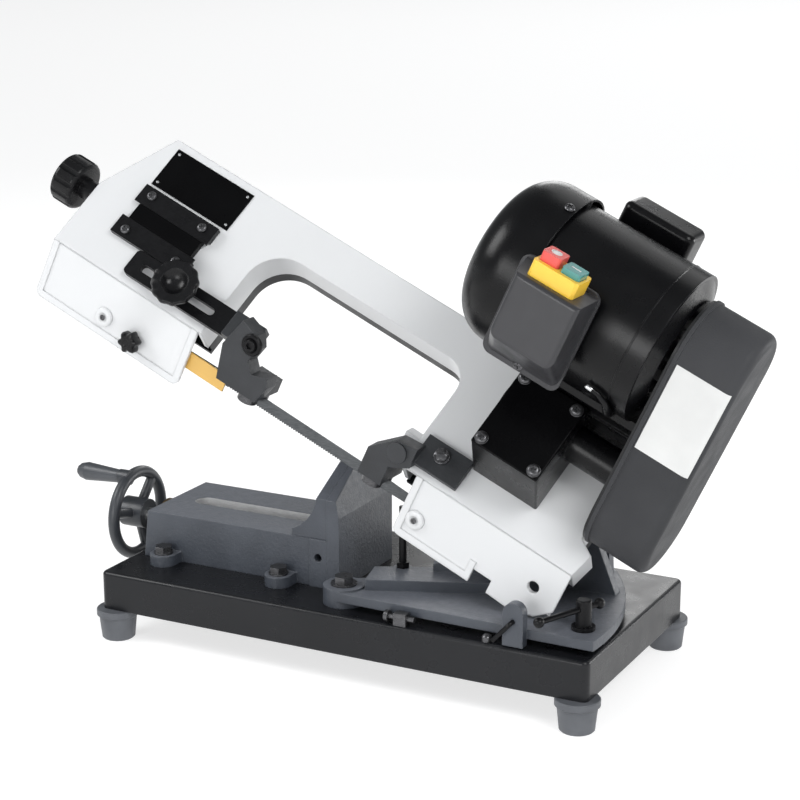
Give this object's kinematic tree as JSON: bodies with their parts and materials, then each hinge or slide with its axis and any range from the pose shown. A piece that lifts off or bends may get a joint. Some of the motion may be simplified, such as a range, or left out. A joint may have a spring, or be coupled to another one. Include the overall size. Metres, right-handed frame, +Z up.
{
  "type": "metal cutting band saw",
  "caption": "Portable horizontal band saw for cutting metal: hinged tilted bow with band wheels and belt-driven motor, on a low tray with a screw vise and a swivelling head base",
  "frame": {"origin": "on the bench plane under the feet, below the middle of the whole machine's box", "axes": "+X towards the motor and belt cover end, -X towards the handwheel, -Y towards the operator, +Z up"},
  "size_m": [0.8184, 0.3419, 0.5286],
  "materials": {
    "white_paint": "gloss cool white enamel",
    "casting_paint": "dark blue-grey paint on a fine cast texture",
    "wheel_paint": "smooth blue-grey paint",
    "black_casting": "black paint on a fine cast texture",
    "tray_paint": "dark grey powder coat",
    "black_gloss": "gloss black enamel",
    "black_satin": "satin black paint",
    "steel": "bare turned steel",
    "black_oxide": "steel with a black oxide",
    "blade_steel": "bare spring steel",
    "bronze": "plain bearing bronze",
    "black_plastic": "matt black moulding",
    "yellow_plastic": "smooth yellow moulding",
    "yellow_paint": "yellow-orange paint",
    "red_plastic": "smooth red moulding",
    "green_plastic": "smooth teal-green moulding",
    "foot_rubber": "moulded dark grey rubber",
    "belt_rubber": "black belt rubber"
  },
  "bodies": {
    "base": {"base_tray": "tray_paint", "rubber_feet": "foot_rubber", "base_bolts": "black_oxide", "vise_bed": "casting_paint", "fixed_jaw": "casting_paint", "screw_bush": "bronze", "swivel_pivot_bolt": "black_oxide", "swivel_stops": "black_oxide"},
    "movable_jaw": {"movable_jaw": "casting_paint", "jaw_nut": "bronze"},
    "lead_screw": {"lead_screw": "steel", "handwheel": "wheel_paint"},
    "grip": {"handwheel_grip": "wheel_paint"},
    "swivel": {"swivel_base": "casting_paint", "head_pivot_shaft": "steel", "down_stop_bolt": "black_oxide", "clamp_nut": "black_oxide"},
    "clamp": {"clamp_post": "black_oxide"},
    "tommy": {"tommy_bar": "black_oxide"},
    "lock_pin": {"lock_pin": "black_oxide"},
    "head": {"bow_frame": "white_paint", "hinge_bracket": "casting_paint", "left_front_guard": "white_paint", "right_front_guard": "white_paint", "rear_cover": "black_satin", "name_plate": "black_satin", "slide_rails": "black_oxide", "saw_blade": "blade_steel", "right_guide_bracket": "black_casting", "gearbox_housing": "black_gloss", "gearbox_cover": "black_gloss", "head_screws": "black_oxide", "drive_belt": "belt_rubber", "belt_backplate": "black_satin", "motor_body": "black_gloss", "fan_cover": "black_gloss", "capacitor_box": "black_plastic", "switch_box": "black_plastic", "switch_housing": "yellow_plastic"},
    "star_knob": {"star_knob": "black_plastic"},
    "tension_slide": {"tension_slide": "black_oxide"},
    "tension_knob": {"tension_knob": "black_plastic"},
    "idler": {"idler_wheel": "casting_paint"},
    "drive": {"drive_wheel": "casting_paint", "drive_shaft": "steel"},
    "worm": {"worm_shaft": "steel", "driven_pulley": "steel"},
    "rotor": {"motor_rotor": "steel", "motor_pulley": "steel"},
    "guide": {"guide_bar": "black_oxide", "left_guide_block": "black_casting", "blade_guard": "yellow_paint"},
    "guide_knob": {"guide_knob": "black_plastic"},
    "left_roller_front": {"left_roller_front": "steel"},
    "left_roller_back": {"left_roller_back": "steel"},
    "right_roller_front": {"right_roller_front": "steel"},
    "right_roller_back": {"right_roller_back": "steel"},
    "belt_cover": {"belt_cover": "black_satin"},
    "stop_button": {"stop_button": "red_plastic"},
    "start_button": {"start_button": "green_plastic"}
  },
  "joints": [
    {"name": "jaw_slide", "type": "slide", "parent": "base", "child": "movable_jaw", "axis": [1, 0, 0], "range_m": [-0.142, 0]},
    {"name": "lead_screw_turn", "type": "hinge", "parent": "base", "child": "lead_screw", "pos_m": [-0.34065, 0.015, 0.102], "axis": [1, 0, 0], "range_deg": [-12780, 0]},
    {"name": "grip_spin", "type": "hinge", "parent": "lead_screw", "child": "grip", "pos_m": [-0.35265, 0.00048, 0.1467], "axis": [1, 0, 0], "continuous": true},
    {"name": "swivel_turn", "type": "hinge", "parent": "base", "child": "swivel", "pos_m": [-0.02365, -0.072, 0.076], "axis": [0, 0, 1], "range_deg": [0, 45]},
    {"name": "clamp_turn", "type": "hinge", "parent": "swivel", "child": "clamp", "pos_m": [0.24435, -0.072, 0.1157], "axis": [0, 0, 1], "range_deg": [0, 60]},
    {"name": "tommy_slide", "type": "slide", "parent": "clamp", "child": "tommy", "axis": [-0.3907, -0.9205, 0], "range_m": [-0.046, 0.007]},
    {"name": "lock_pin_pull", "type": "slide", "parent": "swivel", "child": "lock_pin", "axis": [0, -1, 0], "range_m": [0, 0.015]},
    {"name": "head_pivot", "type": "hinge", "parent": "swivel", "child": "head", "pos_m": [0.18835, 0.024, 0.168], "axis": [0, 1, 0], "range_deg": [-24, 30]},
    {"name": "star_knob_turn", "type": "hinge", "parent": "head", "child": "star_knob", "pos_m": [-0.27638, -0.072, 0.32844], "axis": [0, -1, 0], "range_deg": [0, 720]},
    {"name": "tension_move", "type": "slide", "parent": "head", "child": "tension_slide", "axis": [0.9063, 0, -0.4226], "range_m": [0, 0.006]},
    {"name": "tension_knob_turn", "type": "hinge", "parent": "head", "child": "tension_knob", "pos_m": [-0.35737, -0.01584, 0.46948], "axis": [0.9063, 0, -0.4226], "range_deg": [-1440, 0]},
    {"name": "idler_spin", "type": "hinge", "parent": "tension_slide", "child": "idler", "pos_m": [-0.26085, -0.02733, 0.43511], "axis": [0.2717, -0.766, 0.5826], "continuous": true},
    {"name": "drive_spin", "type": "hinge", "parent": "head", "child": "drive", "pos_m": [0.15424, -0.02733, 0.24155], "axis": [0.2717, -0.766, 0.5826], "continuous": true},
    {"name": "worm_spin", "type": "hinge", "parent": "head", "child": "worm", "pos_m": [0.23186, -0.03176, 0.26131], "axis": [0.9063, 0, -0.4226], "continuous": true},
    {"name": "rotor_spin", "type": "hinge", "parent": "head", "child": "rotor", "pos_m": [0.28978, -0.0335, 0.38551], "axis": [0.9063, 0, -0.4226], "continuous": true},
    {"name": "guide_move", "type": "slide", "parent": "head", "child": "guide", "axis": [0.9063, 0, -0.4226], "range_m": [-0.025, 0.036]},
    {"name": "guide_knob_turn", "type": "hinge", "parent": "head", "child": "guide_knob", "pos_m": [-0.22573, -0.05657, 0.38027], "axis": [0.2717, -0.766, 0.5826], "range_deg": [0, 360]},
    {"name": "left_roller_front_spin", "type": "hinge", "parent": "guide", "child": "left_roller_front", "pos_m": [-0.14103, -0.06585, 0.27798], "axis": [0.4226, 0, 0.9063], "continuous": true},
    {"name": "left_roller_back_spin", "type": "hinge", "parent": "guide", "child": "left_roller_back", "pos_m": [-0.14103, -0.04275, 0.27798], "axis": [0.4226, 0, 0.9063], "continuous": true},
    {"name": "right_roller_front_spin", "type": "hinge", "parent": "head", "child": "right_roller_front", "pos_m": [0.00579, -0.06585, 0.20952], "axis": [0.4226, 0, 0.9063], "continuous": true},
    {"name": "right_roller_back_spin", "type": "hinge", "parent": "head", "child": "right_roller_back", "pos_m": [0.00579, -0.04275, 0.20952], "axis": [0.4226, 0, 0.9063], "continuous": true},
    {"name": "belt_cover_open", "type": "hinge", "parent": "head", "child": "belt_cover", "pos_m": [0.29524, 0.0215, 0.30021], "axis": [0.4226, 0, 0.9063], "range_deg": [0, 95]},
    {"name": "stop_press", "type": "slide", "parent": "head", "child": "stop_button", "axis": [-0.4226, 0, -0.9063], "range_m": [0, 0.004], "stiffness_N_per_m": 600, "springref_m": -0.001},
    {"name": "start_press", "type": "slide", "parent": "head", "child": "start_button", "axis": [-0.4226, 0, -0.9063], "range_m": [0, 0.004], "stiffness_N_per_m": 600, "springref_m": -0.001}
  ],
  "couplings": [
    {"joint": "lead_screw_turn", "follows": "jaw_slide", "rad_per_m": 1570.8},
    {"joint": "tension_knob_turn", "follows": "tension_move", "rad_per_m": -4188.7},
    {"joint": "idler_spin", "follows": "drive_spin", "ratio": 1},
    {"joint": "worm_spin", "follows": "drive_spin", "ratio": 22},
    {"joint": "rotor_spin", "follows": "drive_spin", "ratio": 35.22}
  ]
}
